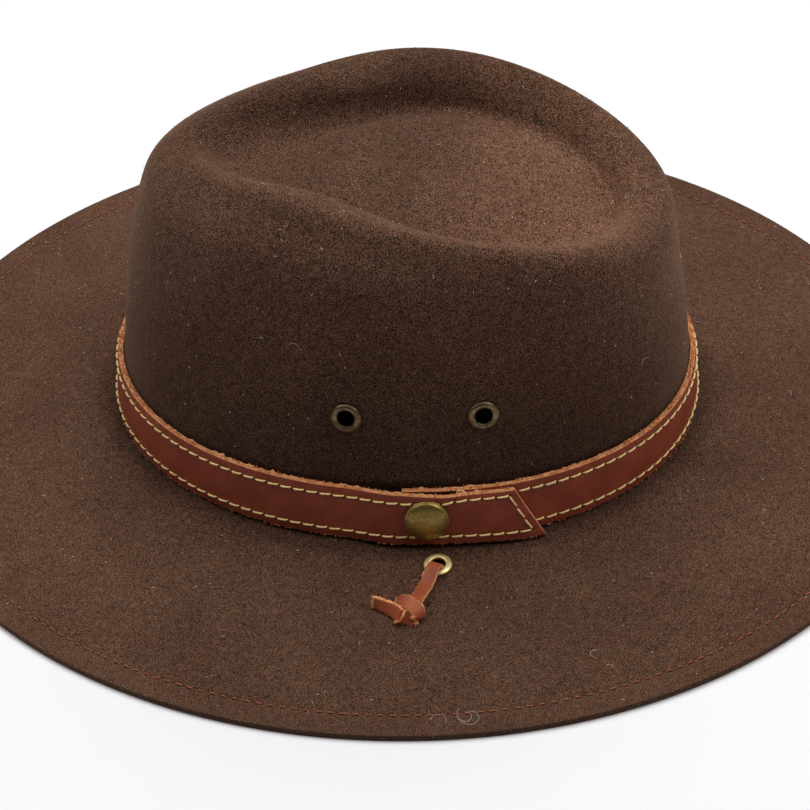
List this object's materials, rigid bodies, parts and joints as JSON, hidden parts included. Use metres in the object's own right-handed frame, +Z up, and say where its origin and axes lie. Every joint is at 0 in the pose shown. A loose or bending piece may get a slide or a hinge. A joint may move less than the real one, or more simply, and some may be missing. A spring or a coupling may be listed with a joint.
{
  "type": "hunting hat",
  "caption": "Brown wool felt hunting hat with a teardrop crown, a wide nearly flat brim, a stitched leather band closed by a snap, brass vents and a knotted leather chin thong.",
  "frame": {"origin": "middle of the brim's outline, on the flat under face of the brim's outer ring, where the hat rests", "axes": "+Z up through the crown; -Y to the front of the hat; +X to the wearer's left, the side where the band closes"},
  "size_m": [0.3396, 0.3744, 0.1182],
  "materials": {
    "wool_felt": "dark brown wool felt with a short matt nap",
    "strap_leather": "red-brown vegetable-tanned strap, smooth face, raw tan edges",
    "thong_leather": "red-brown latigo lace with raw edges",
    "waxed_thread": "cream waxed thread of the band's two stitch rows",
    "rust_thread": "rust thread of the brim's stitch row",
    "aged_brass": "antique brushed brass",
    "bright_brass": "pale polished brass"
  },
  "bodies": {
    "root": {"felt_body": "wool_felt", "hat_band": "strap_leather", "snap_cap": "aged_brass", "vent_eyelet_left_front": "aged_brass", "vent_eyelet_left_back": "aged_brass", "vent_eyelet_right_front": "aged_brass", "vent_eyelet_right_back": "aged_brass", "brim_grommet_left": "bright_brass", "brim_grommet_right": "bright_brass", "chin_thong": "thong_leather", "thong_knot_left": "thong_leather", "thong_knot_right": "thong_leather"}
  },
  "joints": []
}
